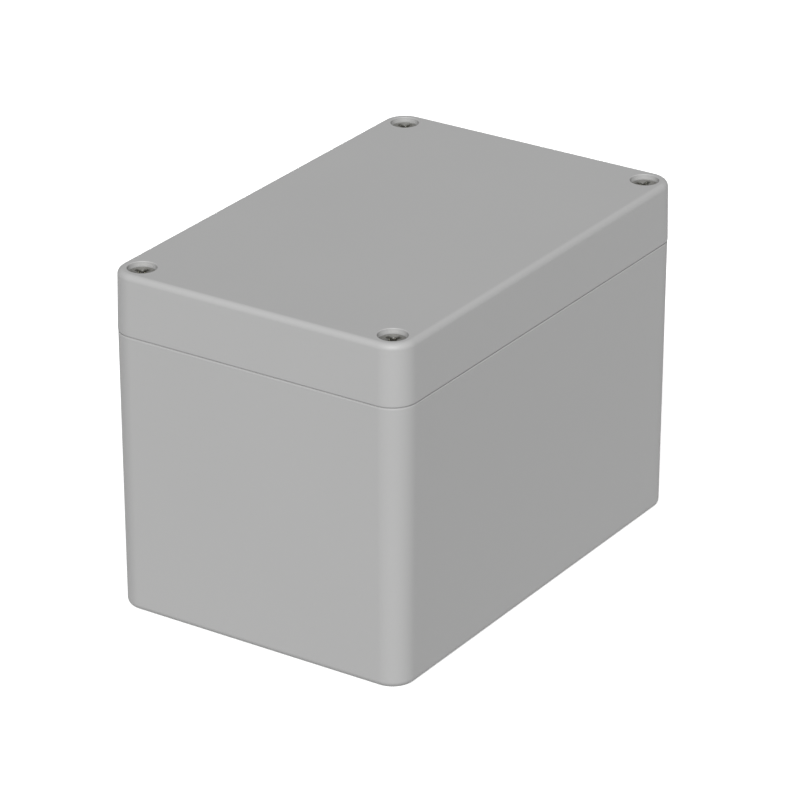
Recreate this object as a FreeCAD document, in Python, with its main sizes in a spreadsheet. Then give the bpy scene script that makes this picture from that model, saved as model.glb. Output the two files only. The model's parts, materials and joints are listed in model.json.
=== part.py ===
import FreeCAD, Part
import os
import Sketcher
from math import pi, radians

# Frame: the origin lies under the middle of the flat bottom face.
# X runs along the long side, Y across it and Z up. Lengths are in
# millimetres and angles in degrees.
# The base rises from the bottom face to the rim, and the lid sits on the rim.

SIZES = [
    # the box as seen from outside
    ("box_length", 120),
    ("box_width", 80),
    ("base_height", 70),
    ("lid_height", 15),
    ("corner_radius", 6.3),
    ("base_draft", 0.36),
    ("lid_draft", 1),
    ("rim_step", 0.06),
    ("bottom_round", 1.5),
    ("roof_round", 1.45),
    ("rim_round", 0.4),
    ("skirt_round", 0.3),
    # walls of the two mouldings
    ("wall", 3.5),
    ("floor_thickness", 3),
    ("roof_thickness", 3),
    ("cavity_draft", 0.5),
    ("cavity_round", 2.5),
    ("floor_round", 1.2),
    # corner pods, which hold the screws outside the seal
    ("pod_wall", 2.6),
    ("pod_round", 3.2),
    ("wall_hole_inset", 6),
    ("wall_hole_setback", 15),
    ("wall_hole_bore", 4.5),
    ("channel_bore", 7.6),
    ("channel_floor", 4),
    # seal between the base and the lid
    ("tongue_inset", 0.3),
    ("tongue_width", 1.2),
    ("tongue_height", 2),
    ("tongue_round", 0.35),
    ("tongue_play", 0.6),
    ("groove_depth", 3.5),
    ("groove_lip", 1.4),
    ("gasket_play", 0.05),
    # bosses for a circuit board
    ("boss_bore", 2.7),
    ("boss_diameter", 7),
    ("boss_height", 6),
    ("boss_pilot_depth", 7),
    ("boss_end_gap", 7.6),
    ("boss_side_gap", 6.5),
    ("boss_foot_round", 0.8),
    # lid screws
    ("screw_inset", 6),
    ("head_diameter", 6.5),
    ("head_height", 2.8),
    ("head_sink", 1.2),
    ("head_round", 0.3),
    ("head_play", 0.2),
    ("recess_round", 0.2),
    ("cross_span", 4.2),
    ("cross_width", 0.95),
    ("cross_depth", 1.9),
    ("cross_draft", 8),
    ("shank_diameter", 3),
    ("thread_diameter", 4),
    ("thread_length", 7.8),
    ("thread_rise", 0.3),
    ("thread_tip", 0.5),
    ("thread_pass", 0.2),
    ("web_thickness", 2),
    # threaded inserts in the base
    ("insert_diameter", 5.6),
    ("insert_length", 6),
    ("insert_sink", 0.5),
    ("insert_groove", 0.4),
    ("insert_groove_width", 1.2),
    ("insert_chamfer", 0.4),
    ("insert_seat_play", 0.02),
    ("thread_play", 0.05),
    ("tip_room", 1.5),
    # washers that keep the screws in the lid
    ("washer_diameter", 6.4),
    ("washer_thickness", 1),
    ("washer_round", 0.2),
    ("washer_play", 0.1),
    # hollows that keep the lid's corners thin
    ("core_length", 6.4),
    ("core_width", 6.4),
    ("core_roof", 4),
    ("core_round", 1.5),
]

# Names of the four corners and the side of the box that each is on
CORNERS = [
    ("front_left", -1, -1),
    ("front_right", 1, -1),
    ("back_right", 1, 1),
    ("back_left", -1, 1),
]

# Lengths this near each other count as the same
NEAR = 1e-3

# Heights above the bottom face
RIM = "Sizes.base_height"
LID_TOP = "Sizes.base_height + Sizes.lid_height"
TONGUE_TOP = "Sizes.base_height + Sizes.tongue_height"
GROOVE_TOP = "Sizes.base_height + Sizes.groove_depth"
FLOOR_TOP = "Sizes.floor_thickness"
BOSS_TOP = "Sizes.floor_thickness + Sizes.boss_height"
HEAD_TOP = f"{LID_TOP} - Sizes.head_sink"
HEAD_SEAT = f"{HEAD_TOP} - Sizes.head_height"
WEB_UNDERSIDE = f"{HEAD_SEAT} - Sizes.web_thickness"
THREAD_TOP = "Sizes.base_height + Sizes.thread_rise"
THREAD_END = f"{THREAD_TOP} - Sizes.thread_length"
INSERT_TOP = "Sizes.base_height - Sizes.insert_sink"
SCREW_PASSAGE = "Sizes.thread_diameter + 2 * Sizes.thread_pass"

# Places of the holes, as distances from the middle of the box
SCREW_X = "Sizes.box_length / 2 - Sizes.screw_inset"
SCREW_Y = "Sizes.box_width / 2 - Sizes.screw_inset"
WALL_HOLE_X = "Sizes.box_length / 2 - Sizes.wall_hole_inset"
WALL_HOLE_Y = "Sizes.box_width / 2 - Sizes.wall_hole_setback"

# Outline of the cavity at the rim: a rectangle with a notch at each pod
CAVITY_X = "Sizes.box_length / 2 - Sizes.wall"
CAVITY_Y = "Sizes.box_width / 2 - Sizes.wall"
NOTCH_X = f"{WALL_HOLE_X} - Sizes.channel_bore / 2 - Sizes.pod_wall"
NOTCH_Y = f"{WALL_HOLE_Y} - Sizes.channel_bore / 2 - Sizes.pod_wall"

# Distances of the seal's edges from the cavity's outline
TONGUE_INNER = "Sizes.tongue_inset"
TONGUE_OUTER = "Sizes.tongue_inset + Sizes.tongue_width"
GROOVE_INNER = "Sizes.tongue_inset - Sizes.tongue_play"
GROOVE_OUTER = f"{TONGUE_OUTER} + Sizes.tongue_play"
GASKET_INNER = f"{GROOVE_INNER} + Sizes.gasket_play"
GASKET_OUTER = f"{GROOVE_OUTER} - Sizes.gasket_play"
LID_CAVITY = f"{GROOVE_INNER} - Sizes.groove_lip"


# Drawing tools

def value(sheet, expression):
    """The number that an expression on the sheet's cells comes to."""
    return float(sheet.evalExpression(expression))


def new_body(doc, label):
    body = doc.addObject("PartDesign::Body", label)
    body.Label = label
    return body


def new_sketch(body, name, height, role="XY_Plane"):
    """A sketch on one of the body's own planes, moved off it by a height."""
    sketch = body.newObject("Sketcher::SketchObject", name)
    plane = [item for item in body.Origin.OriginFeatures if item.Role == role][0]
    sketch.AttachmentSupport = [(plane, "")]
    sketch.MapMode = "FlatFace"
    sketch.setExpression(".AttachmentOffset.Base.z", height)
    body.Document.recompute()
    return sketch


def bind(sketch, constraints):
    """Add constraints to a sketch, each with the expression that drives it."""
    first = sketch.ConstraintCount
    sketch.addConstraint([constraint for constraint, expression in constraints])
    for number, (constraint, expression) in enumerate(constraints):
        if expression:
            sketch.setExpression(f"Constraints[{first + number}]", expression)


def place_along(axis, item, point, sign, distance, expression):
    """Hold a point at a distance from the sketch's origin, on one side."""
    ends = (-1, 1, item, point) if sign > 0 else (item, point, -1, 1)
    return (Sketcher.Constraint(f"Distance{axis}", *ends, distance), expression)


def add_loop(sheet, sketch, corners):
    """A closed loop of level and upright lines with rounded corners.

    Each corner is (x, y, side in x, side in y, radius), counterclockwise,
    where x, y and radius are expressions.
    """
    count = len(corners)
    points = []
    radii = []
    for x, y, side_x, side_y, radius in corners:
        points.append(FreeCAD.Vector(side_x * value(sheet, x), side_y * value(sheet, y), 0))
        radii.append(value(sheet, radius))
    starts = []
    ends = []
    left_turns = []
    for number, point in enumerate(points):
        arriving = (points[number - 1] - point).normalize()
        leaving = (points[(number + 1) % count] - point).normalize()
        starts.append(point + arriving * radii[number])
        ends.append(point + leaving * radii[number])
        left_turns.append(arriving.cross(leaving).z < 0)
    first = sketch.GeometryCount
    shapes = []
    for number in range(count):
        shapes.append(Part.LineSegment(ends[number], starts[(number + 1) % count]))
    for number, point in enumerate(points):
        centre = starts[number] + ends[number] - point
        low, high = starts[number] - centre, ends[number] - centre
        if not left_turns[number]:
            low, high = high, low
        circle = Part.Circle(centre, FreeCAD.Vector(0, 0, 1), radii[number])
        from_angle = FreeCAD.Vector(1, 0, 0).getAngle(low) * (1 if low.y >= 0 else -1)
        shapes.append(Part.ArcOfCircle(circle, from_angle, from_angle + radians(90)))
    sketch.addGeometry(shapes, False)
    constraints = []
    for number, (x, y, side_x, side_y, radius) in enumerate(corners):
        line = first + number
        arc = first + count + number
        last_line = first + (number - 1) % count
        arc_in, arc_out = (1, 2) if left_turns[number] else (2, 1)
        constraints.append((Sketcher.Constraint("Tangent", arc, arc_in, last_line, 2), None))
        constraints.append((Sketcher.Constraint("Tangent", arc, arc_out, line, 1), None))
        constraints.append((Sketcher.Constraint("Radius", arc, radii[number]), radius))
        point = points[number]
        upright = abs(point.x - points[(number + 1) % count].x) < NEAR
        if upright:
            constraints.append((Sketcher.Constraint("Vertical", line), None))
            constraints.append(place_along("X", line, 1, side_x, abs(point.x), x))
        else:
            constraints.append((Sketcher.Constraint("Horizontal", line), None))
            constraints.append(place_along("Y", line, 1, side_y, abs(point.y), y))
    bind(sketch, constraints)


def add_rectangle(sketch, half_x, half_y, centre_x="0", centre_y="0"):
    """A sharp rectangle, from half sizes and a centre, all expressions."""
    read = sketch.evalExpression
    left, right = -float(read(half_x)), float(read(half_x))
    low, high = -float(read(half_y)), float(read(half_y))
    shift = FreeCAD.Vector(float(read(centre_x)), float(read(centre_y)), 0)
    points = [FreeCAD.Vector(x, y, 0) + shift
              for x, y in ((left, low), (right, low), (right, high), (left, high))]
    first = sketch.GeometryCount
    sides = [Part.LineSegment(points[side], points[(side + 1) % 4]) for side in range(4)]
    sides.append(Part.Point(shift))
    sketch.addGeometry(sides, False)
    sketch.setConstruction(first + 4, True)
    constraints = []
    for side in range(4):
        joined = Sketcher.Constraint("Coincident", first + side, 2, first + (side + 1) % 4, 1)
        constraints.append((joined, None))
    for side in (0, 2):
        constraints.append((Sketcher.Constraint("Horizontal", first + side), None))
    for side in (1, 3):
        constraints.append((Sketcher.Constraint("Vertical", first + side), None))
    middle = Sketcher.Constraint("Symmetric", first, 1, first + 2, 1, first + 4, 1)
    constraints.append((middle, None))
    width = Sketcher.Constraint("DistanceX", first, 1, first, 2, right - left)
    constraints.append((width, f"2 * ({half_x})"))
    depth = Sketcher.Constraint("DistanceY", first + 1, 1, first + 1, 2, high - low)
    constraints.append((depth, f"2 * ({half_y})"))
    for axis, distance, expression in (("X", shift.x, centre_x), ("Y", shift.y, centre_y)):
        across = Sketcher.Constraint(f"Distance{axis}", -1, 1, first + 4, 1, distance)
        constraints.append((across, expression))
    bind(sketch, constraints)


def add_circles(sheet, sketch, x, y, diameter):
    """Four circles, one at each corner of a rectangle about the origin."""
    first = sketch.GeometryCount
    far_x, far_y, across = value(sheet, x), value(sheet, y), value(sheet, diameter)
    circles = []
    for name, side_x, side_y in CORNERS:
        centre = FreeCAD.Vector(side_x * far_x, side_y * far_y, 0)
        circles.append(Part.Circle(centre, FreeCAD.Vector(0, 0, 1), across / 2))
    sketch.addGeometry(circles, False)
    constraints = []
    for number, (name, side_x, side_y) in enumerate(CORNERS):
        circle = first + number
        constraints.append((Sketcher.Constraint("Diameter", circle, across), diameter))
        constraints.append(place_along("X", circle, 3, side_x, far_x, x))
        constraints.append(place_along("Y", circle, 3, side_y, far_y, y))
    bind(sketch, constraints)


def add_profile(sheet, sketch, points):
    """A closed half section for turning, from (radius, height) expressions."""
    corners = [FreeCAD.Vector(value(sheet, x), value(sheet, y), 0) for x, y in points]
    count = len(corners)
    first = sketch.GeometryCount
    lines = [Part.LineSegment(corners[side], corners[(side + 1) % count]) for side in range(count)]
    sketch.addGeometry(lines, False)
    constraints = []
    for number, (x, y) in enumerate(points):
        last = first + (number - 1) % count
        joined = Sketcher.Constraint("Coincident", last, 2, first + number, 1)
        constraints.append((joined, None))
        across = Sketcher.Constraint("DistanceX", -1, 1, first + number, 1, corners[number].x)
        constraints.append((across, x))
        up = Sketcher.Constraint("DistanceY", -1, 1, first + number, 1, corners[number].y)
        constraints.append((up, y))
    bind(sketch, constraints)


def extrude(body, kind, sketch, name, length, upward, draft=None):
    """A pad or pocket of a stated length, upward or downward from its sketch."""
    feature = body.newObject(f"PartDesign::{kind}", name)
    feature.Profile = sketch
    feature.Reversed = upward if kind == "Pocket" else not upward
    feature.setExpression("Length", length)
    if draft:
        feature.setExpression("TaperAngle", f"-{draft}")
    body.Document.recompute()
    before = feature.BaseFeature.Shape.Volume if feature.BaseFeature else 0
    change = feature.Shape.Volume - before
    if (change >= 0) == (kind == "Pocket"):
        raise ValueError(f"{name} changes the volume by {change}")
    return feature


def drill(body, sketch, name, bore, depth, wide_bore, wide_depth):
    """Stepped flat-ended holes downward from a sketch of circles."""
    before = body.Shape.Volume
    feature = body.newObject("PartDesign::Hole", name)
    feature.Profile = sketch
    body.Document.recompute()
    feature.ThreadType = "None"
    feature.DepthType = "Dimension"
    feature.DrillPoint = "Flat"
    feature.HoleCutType = "Counterbore"
    feature.HoleCutCustomValues = True
    feature.setExpression("Diameter", bore)
    feature.setExpression("Depth", depth)
    feature.setExpression("HoleCutDiameter", wide_bore)
    feature.setExpression("HoleCutDepth", wide_depth)
    body.Document.recompute()
    if feature.Shape.Volume >= before:
        raise ValueError(f"{name} removes nothing")
    return feature


def turn(body, sketch, name):
    """A solid of revolution about the body's own Z axis."""
    feature = body.newObject("PartDesign::Revolution", name)
    feature.Profile = sketch
    axis = [item for item in body.Origin.OriginFeatures if item.Role == "Z_Axis"][0]
    feature.ReferenceAxis = (axis, [""])
    feature.Angle = 360
    body.Document.recompute()
    return feature


def dress(body, kind, name, size, chosen):
    """A fillet or chamfer on the edges of the body's last feature."""
    base = body.Tip
    edges = [f"Edge{number + 1}" for number, edge in enumerate(base.Shape.Edges) if chosen(edge)]
    if not edges:
        raise ValueError(f"{name} finds no edge")
    feature = body.newObject(f"PartDesign::{kind}", name)
    feature.Base = (base, edges)
    feature.setExpression("Radius" if kind == "Fillet" else "Size", size)
    body.Document.recompute()
    return feature


def edge_is_level(edge, height):
    box = edge.BoundBox
    return abs(box.ZMin - height) < NEAR and abs(box.ZMax - height) < NEAR


def is_circle_of(edge, diameter):
    return edge.isClosed() and abs(edge.Length - pi * diameter) < NEAR


# Shared outlines

def box_corners(inset):
    """The box's outer outline at the rim, set back by a distance."""
    half_x = f"Sizes.box_length / 2 - {inset}"
    half_y = f"Sizes.box_width / 2 - {inset}"
    sides = ((1, 1), (-1, 1), (-1, -1), (1, -1))
    return [(half_x, half_y, side_x, side_y, "Sizes.corner_radius") for side_x, side_y in sides]


def core_corners(corner_x, corner_y):
    """A small rounded square over one of the wall holes."""
    corners = []
    for side_x, side_y in ((1, 1), (-1, 1), (-1, -1), (1, -1)):
        # the outline is written from the middle of the box outward
        x = f"{WALL_HOLE_X} + {side_x * corner_x} * Sizes.core_length / 2"
        y = f"{WALL_HOLE_Y} + {side_y * corner_y} * Sizes.core_width / 2"
        corners.append((x, y, corner_x, corner_y, "Sizes.core_round"))
    return corners


def notched_corners(grow):
    """The cavity's outline, moved outward by a distance."""
    long_x = f"{CAVITY_X} + ({grow})"
    long_y = f"{CAVITY_Y} + ({grow})"
    short_x = f"{NOTCH_X} + ({grow})"
    short_y = f"{NOTCH_Y} + ({grow})"
    hollow = f"Sizes.cavity_round + ({grow})"
    pod = f"Sizes.pod_round - ({grow})"
    quarter = [(long_x, short_y, hollow), (short_x, short_y, pod), (short_x, long_y, hollow)]
    corners = []
    for side_x, side_y in ((1, 1), (-1, 1), (-1, -1), (1, -1)):
        ordered = quarter if side_x == side_y else quarter[::-1]
        corners.extend((x, y, side_x, side_y, radius) for x, y, radius in ordered)
    return corners


def add_ring(sheet, sketch, inner, outer):
    """A ring that follows the cavity's outline."""
    add_loop(sheet, sketch, notched_corners(inner))
    add_loop(sheet, sketch, notched_corners(outer))


# Sub-parts

def make_base(doc, sheet):
    """The deep lower moulding: block, cavity, pods, tongue, holes and bosses."""
    size = {name: value(sheet, f"Sizes.{name}") for name, number in SIZES}
    rim = size["base_height"]
    body = new_body(doc, "base")

    outline = new_sketch(body, "BaseOutline", RIM)
    add_loop(sheet, outline, box_corners("Sizes.rim_step"))
    extrude(body, "Pad", outline, "BaseBlock", RIM, False, "Sizes.base_draft")
    dress(body, "Fillet", "BottomEdge", "Sizes.bottom_round",
          lambda edge: edge_is_level(edge, 0))
    dress(body, "Fillet", "RimEdge", "Sizes.rim_round",
          lambda edge: edge_is_level(edge, rim))

    tongue = new_sketch(body, "TongueOutline", RIM)
    add_ring(sheet, tongue, TONGUE_INNER, TONGUE_OUTER)
    extrude(body, "Pad", tongue, "Tongue", "Sizes.tongue_height", True)
    dress(body, "Fillet", "TongueEdges", "Sizes.tongue_round",
          lambda edge: edge_is_level(edge, value(sheet, TONGUE_TOP)))

    cavity = new_sketch(body, "CavityOutline", RIM)
    add_loop(sheet, cavity, notched_corners("0"))
    extrude(body, "Pocket", cavity, "Cavity", f"{RIM} - {FLOOR_TOP}", False, "Sizes.cavity_draft")
    dress(body, "Fillet", "FloorEdge", "Sizes.floor_round",
          lambda edge: edge_is_level(edge, value(sheet, FLOOR_TOP)))

    bosses = new_sketch(body, "BossOutline", FLOOR_TOP)
    boss_x = f"{NOTCH_X} - Sizes.boss_end_gap"
    boss_y = f"{CAVITY_Y} - Sizes.boss_side_gap"
    add_circles(sheet, bosses, boss_x, boss_y, "Sizes.boss_diameter")
    extrude(body, "Pad", bosses, "Bosses", "Sizes.boss_height", True)
    dress(body, "Fillet", "BossFeet", "Sizes.boss_foot_round",
          lambda edge: (is_circle_of(edge, size["boss_diameter"])
                        and edge_is_level(edge, value(sheet, FLOOR_TOP))))
    pilots = new_sketch(body, "PilotOutline", BOSS_TOP)
    add_circles(sheet, pilots, boss_x, boss_y, "Sizes.boss_bore")
    extrude(body, "Pocket", pilots, "BossPilots", "Sizes.boss_pilot_depth", False)

    wall_holes = new_sketch(body, "WallHoleCentres", RIM)
    add_circles(sheet, wall_holes, WALL_HOLE_X, WALL_HOLE_Y, "Sizes.wall_hole_bore")
    drill(body, wall_holes, "WallHoles", "Sizes.wall_hole_bore", RIM,
          "Sizes.channel_bore", f"{RIM} - Sizes.channel_floor")
    insert_holes = new_sketch(body, "InsertHoleCentres", RIM)
    add_circles(sheet, insert_holes, SCREW_X, SCREW_Y, SCREW_PASSAGE)
    drill(body, insert_holes, "InsertHoles", SCREW_PASSAGE,
          f"{RIM} - ({THREAD_END}) + Sizes.tip_room",
          "Sizes.insert_diameter + 2 * Sizes.insert_seat_play",
          "Sizes.insert_sink + Sizes.insert_length")
    return body


def make_lid(doc, sheet):
    """The shallow cover: block, hollow, seal groove and stepped screw holes."""
    rim = value(sheet, RIM)
    top = value(sheet, LID_TOP)
    body = new_body(doc, "lid")

    outline = new_sketch(body, "LidOutline", RIM)
    add_loop(sheet, outline, box_corners("0"))
    extrude(body, "Pad", outline, "LidBlock", "Sizes.lid_height", True, "Sizes.lid_draft")
    dress(body, "Fillet", "RoofEdge", "Sizes.roof_round", lambda edge: edge_is_level(edge, top))
    dress(body, "Fillet", "SkirtEdge", "Sizes.skirt_round", lambda edge: edge_is_level(edge, rim))

    hollow = new_sketch(body, "HollowOutline", RIM)
    add_loop(sheet, hollow, notched_corners(LID_CAVITY))
    extrude(body, "Pocket", hollow, "Hollow", "Sizes.lid_height - Sizes.roof_thickness", True,
            "Sizes.cavity_draft")
    roof = top - value(sheet, "Sizes.roof_thickness")
    dress(body, "Fillet", "HollowEdge", "Sizes.floor_round",
          lambda edge: edge_is_level(edge, roof))

    groove = new_sketch(body, "GrooveOutline", RIM)
    add_ring(sheet, groove, GROOVE_INNER, GROOVE_OUTER)
    extrude(body, "Pocket", groove, "Groove", "Sizes.groove_depth", True)

    recess = "Sizes.head_diameter + 2 * Sizes.head_play"
    screw_holes = new_sketch(body, "ScrewHoleCentres", LID_TOP)
    add_circles(sheet, screw_holes, SCREW_X, SCREW_Y, SCREW_PASSAGE)
    drill(body, screw_holes, "ScrewHoles", SCREW_PASSAGE, "Sizes.lid_height",
          recess, "Sizes.head_sink + Sizes.head_height")
    washer_rooms = new_sketch(body, "WasherRoomOutline", RIM)
    add_circles(sheet, washer_rooms, SCREW_X, SCREW_Y, recess)
    extrude(body, "Pocket", washer_rooms, "WasherRooms", f"{WEB_UNDERSIDE} - {RIM}", True)
    dress(body, "Fillet", "HeadPocketEdge", "Sizes.recess_round",
          lambda edge: is_circle_of(edge, value(sheet, recess)) and edge_is_level(edge, top))

    cores = new_sketch(body, "CoreOutline", RIM)
    for name, side_x, side_y in CORNERS:
        add_loop(sheet, cores, core_corners(side_x, side_y))
    extrude(body, "Pocket", cores, "Cores", "Sizes.lid_height - Sizes.core_roof", True)
    return body


def make_gasket(doc, sheet):
    """The soft cord in the lid's groove, pressed flat by the tongue."""
    body = new_body(doc, "gasket")
    outline = new_sketch(body, "GasketOutline", TONGUE_TOP)
    add_ring(sheet, outline, GASKET_INNER, GASKET_OUTER)
    extrude(body, "Pad", outline, "GasketRing", f"{GROOVE_TOP} - ({TONGUE_TOP})", True)
    return body


def stand_at_screw(body, side_x, side_y):
    """Place a turned piece on the axis of one of the lid screws."""
    body.setExpression(".Placement.Base.x", f"{side_x} * ({SCREW_X})")
    body.setExpression(".Placement.Base.y", f"{side_y} * ({SCREW_Y})")
    body.Document.recompute()


def make_screw(doc, sheet, name, side_x, side_y):
    """A captive lid screw: round head, thin shank and a short thread."""
    body = new_body(doc, f"lid_screw_{name}")
    profile = new_sketch(body, f"screw_profile_{name}", "0", "XZ_Plane")
    head = "Sizes.head_diameter / 2"
    shank = "Sizes.shank_diameter / 2"
    thread = "Sizes.thread_diameter / 2"
    add_profile(sheet, profile, [
        ("0", THREAD_END),
        (f"{thread} - Sizes.thread_tip", THREAD_END),
        (thread, f"{THREAD_END} + Sizes.thread_tip"),
        (thread, THREAD_TOP),
        (shank, THREAD_TOP),
        (shank, HEAD_SEAT),
        (head, HEAD_SEAT),
        (head, HEAD_TOP),
        ("0", HEAD_TOP),
    ])
    turn(body, profile, f"screw_{name}")
    top = value(sheet, HEAD_TOP)
    dress(body, "Fillet", f"head_edge_{name}", "Sizes.head_round",
          lambda edge: (is_circle_of(edge, value(sheet, "Sizes.head_diameter"))
                        and edge_is_level(edge, top)))
    for number, (half_x, half_y) in enumerate((("span", "width"), ("width", "span"))):
        slot = new_sketch(body, f"slot_outline_{name}_{number}", HEAD_TOP)
        add_rectangle(slot, f"Sizes.cross_{half_x} / 2", f"Sizes.cross_{half_y} / 2")
        extrude(body, "Pocket", slot, f"slot_{name}_{number}", "Sizes.cross_depth", False,
                "Sizes.cross_draft")
    stand_at_screw(body, side_x, side_y)
    return body


def make_insert(doc, sheet, name, side_x, side_y):
    """A turned insert with a waist, which the base's plastic grips."""
    body = new_body(doc, f"thread_insert_{name}")
    profile = new_sketch(body, f"insert_profile_{name}", "0", "XZ_Plane")
    bore = "Sizes.thread_diameter / 2 + Sizes.thread_play"
    outside = "Sizes.insert_diameter / 2"
    waist = f"{outside} - Sizes.insert_groove"
    low = f"{INSERT_TOP} - Sizes.insert_length"
    middle = f"{INSERT_TOP} - Sizes.insert_length / 2"
    add_profile(sheet, profile, [
        (bore, low),
        (f"{outside} - Sizes.insert_chamfer", low),
        (outside, f"{low} + Sizes.insert_chamfer"),
        (outside, f"{middle} - Sizes.insert_groove_width / 2"),
        (waist, f"{middle} - Sizes.insert_groove_width / 2"),
        (waist, f"{middle} + Sizes.insert_groove_width / 2"),
        (outside, f"{middle} + Sizes.insert_groove_width / 2"),
        (outside, INSERT_TOP),
        (bore, INSERT_TOP),
    ])
    turn(body, profile, f"insert_{name}")
    stand_at_screw(body, side_x, side_y)
    return body


def make_washer(doc, sheet, name, side_x, side_y):
    """A plastic washer on the shank, too narrow for the thread to pass."""
    body = new_body(doc, f"retaining_washer_{name}")
    profile = new_sketch(body, f"washer_profile_{name}", "0", "XZ_Plane")
    bore = "Sizes.shank_diameter / 2 + Sizes.washer_play"
    outside = "Sizes.washer_diameter / 2"
    top = f"{THREAD_TOP} + Sizes.washer_thickness"
    add_profile(sheet, profile, [
        (bore, THREAD_TOP),
        (outside, THREAD_TOP),
        (outside, top),
        (bore, top),
    ])
    turn(body, profile, f"washer_{name}")
    dress(body, "Fillet", f"washer_edge_{name}", "Sizes.washer_round",
          lambda edge: is_circle_of(edge, value(sheet, "Sizes.washer_diameter")))
    stand_at_screw(body, side_x, side_y)
    return body


def make_sheet(doc):
    sheet = doc.addObject("Spreadsheet::Sheet", "Sizes")
    for row, (name, number) in enumerate(SIZES, start=1):
        sheet.set(f"A{row}", name)
        sheet.set(f"B{row}", str(number))
        sheet.setAlias(f"B{row}", name)
    doc.recompute()
    return sheet


def check(doc, bodies):
    """Stop before writing anything if a feature or a shape is bad."""
    for item in doc.Objects:
        if "Invalid" in item.State or "Error" in item.State:
            raise ValueError(f"{item.Name} is in state {item.State}")
    for body in bodies:
        shape = body.Shape
        if shape.isNull() or not shape.isValid() or len(shape.Solids) != 1:
            raise ValueError(f"{body.Label} has a bad shape")


def main():
    doc = FreeCAD.newDocument("Enclosure")
    sheet = make_sheet(doc)
    bodies = [make_base(doc, sheet), make_lid(doc, sheet), make_gasket(doc, sheet)]
    for corner in CORNERS:
        bodies.append(make_screw(doc, sheet, *corner))
        bodies.append(make_insert(doc, sheet, *corner))
        bodies.append(make_washer(doc, sheet, *corner))
    doc.recompute()
    check(doc, bodies)
    os.makedirs("parts", exist_ok=True)
    for body in bodies:
        body.Shape.exportStep(f"parts/{body.Label}.step")
        box = body.Shape.BoundBox
        print(f"{body.Label}: {body.Shape.Volume:.1f} mm3, "
              f"{box.XLength:.2f} x {box.YLength:.2f} x {box.ZLength:.2f} mm")


main()
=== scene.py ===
"""A sealed plastic box with a screwed lid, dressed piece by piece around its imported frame.

Lengths are in metres. The box stands on z = 0 with its long side along X.
"""

import json
from math import cos, pi, radians, sin, tan

import bmesh
import bpy
from bpy.props import FloatProperty, FloatVectorProperty, PointerProperty
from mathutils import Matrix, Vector


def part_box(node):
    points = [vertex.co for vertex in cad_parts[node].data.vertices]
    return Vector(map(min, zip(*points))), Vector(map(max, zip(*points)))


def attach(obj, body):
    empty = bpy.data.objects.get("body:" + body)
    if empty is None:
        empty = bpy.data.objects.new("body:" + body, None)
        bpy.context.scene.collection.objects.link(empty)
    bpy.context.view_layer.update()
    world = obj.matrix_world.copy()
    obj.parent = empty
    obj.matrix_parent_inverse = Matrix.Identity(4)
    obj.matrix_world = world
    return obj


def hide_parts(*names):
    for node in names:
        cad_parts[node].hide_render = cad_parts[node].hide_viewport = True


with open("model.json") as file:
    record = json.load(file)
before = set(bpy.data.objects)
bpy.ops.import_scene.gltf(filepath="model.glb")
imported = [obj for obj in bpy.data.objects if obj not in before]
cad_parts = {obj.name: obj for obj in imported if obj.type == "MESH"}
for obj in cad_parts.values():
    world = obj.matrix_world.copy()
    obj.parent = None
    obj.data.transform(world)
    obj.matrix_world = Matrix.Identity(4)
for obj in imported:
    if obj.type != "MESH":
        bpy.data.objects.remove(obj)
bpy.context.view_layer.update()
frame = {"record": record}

bl_info = {
    "name": "Sealed plastic box",
    "version": (1, 0, 0),
    "blender": (4, 5, 0),
    "location": "3D View > Sidebar > Box",
    "description": "Models a sealed plastic box with a screwed lid, and lights it",
    "category": "Object",
}

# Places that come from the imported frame
BASE_LOW, BASE_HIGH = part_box("base")
LID_LOW, LID_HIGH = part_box("lid")
SEAL_LOW, SEAL_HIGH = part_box("gasket")
CORNERS = {
    "front_left": (-1, -1),
    "front_right": (1, -1),
    "back_right": (1, 1),
    "back_left": (-1, 1),
}
SCREW_LOW, SCREW_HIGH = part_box("lid_screw_back_right")
INSERT_LOW, INSERT_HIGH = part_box("thread_insert_back_right")
WASHER_LOW, WASHER_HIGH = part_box("retaining_washer_back_right")
SCREW_PLACE = (SCREW_LOW + SCREW_HIGH) / 2
RIM = LID_LOW.z
ROOF = LID_HIGH.z
MOUNTS = {mount["name"]: mount for mount in frame["record"]["mounts"]}


def half_spacing(name):
    """Half the distances between a bolt pattern's holes, along X and along Y."""
    dims = MOUNTS[name]["dims"]
    return dims["spacing_x_mm"] / 2000, dims["spacing_y_mm"] / 2000


# How each screw was left by the screwdriver, in degrees about its axis
SCREW_TURNS = {
    "front_left": 72,
    "front_right": 3,
    "back_right": 77,
    "back_left": -9,
}

# Fineness of round shapes, in steps
CORNER_STEPS = 16
TURN_STEPS = 96
EDGE_STEPS = 6

# How near two places must be to count as one
NEAR = 2e-6

# How far a cutter runs past the face it starts from, and a joined piece into its neighbour
PAST = 0.004
SUNK = 0.0005

# How far the slope of a hole's mouth or of a foot carries on past the face it meets
OVER = 0.0002

# A step that is only just seen
SLIGHT = 0.0001

# Thickness of the straight start of a wall that leans
START = 0.0006

# How upright a face's normal stands, at least on a level face and at most on a wall
LEVEL = 0.99
WALL = 0.5

# Heights of the four corners of a thread's section, as shares of its pitch
ROOT_LOW = 0.06
CREST_LOW = 0.42
CREST_HIGH = 0.54
ROOT_HIGH = 0.90

# How deep a thread's ridge is sunk in its core, and how far above the screw's end it starts
RIDGE_SUNK = 0.0002
RIDGE_START = 0.0002

# How far an insert's thread runs past its lower and its upper end
THREAD_BELOW = 0.001
THREAD_ABOVE = 0.0004

# Metal left in an insert's bore for the thread's cutter to take
SKIN = 0.0001


def length(name, text, metres):
    """A length that the user may change."""
    return FloatProperty(name=name, description=text, default=metres, min=0, unit="LENGTH",
                         precision=5)


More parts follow.
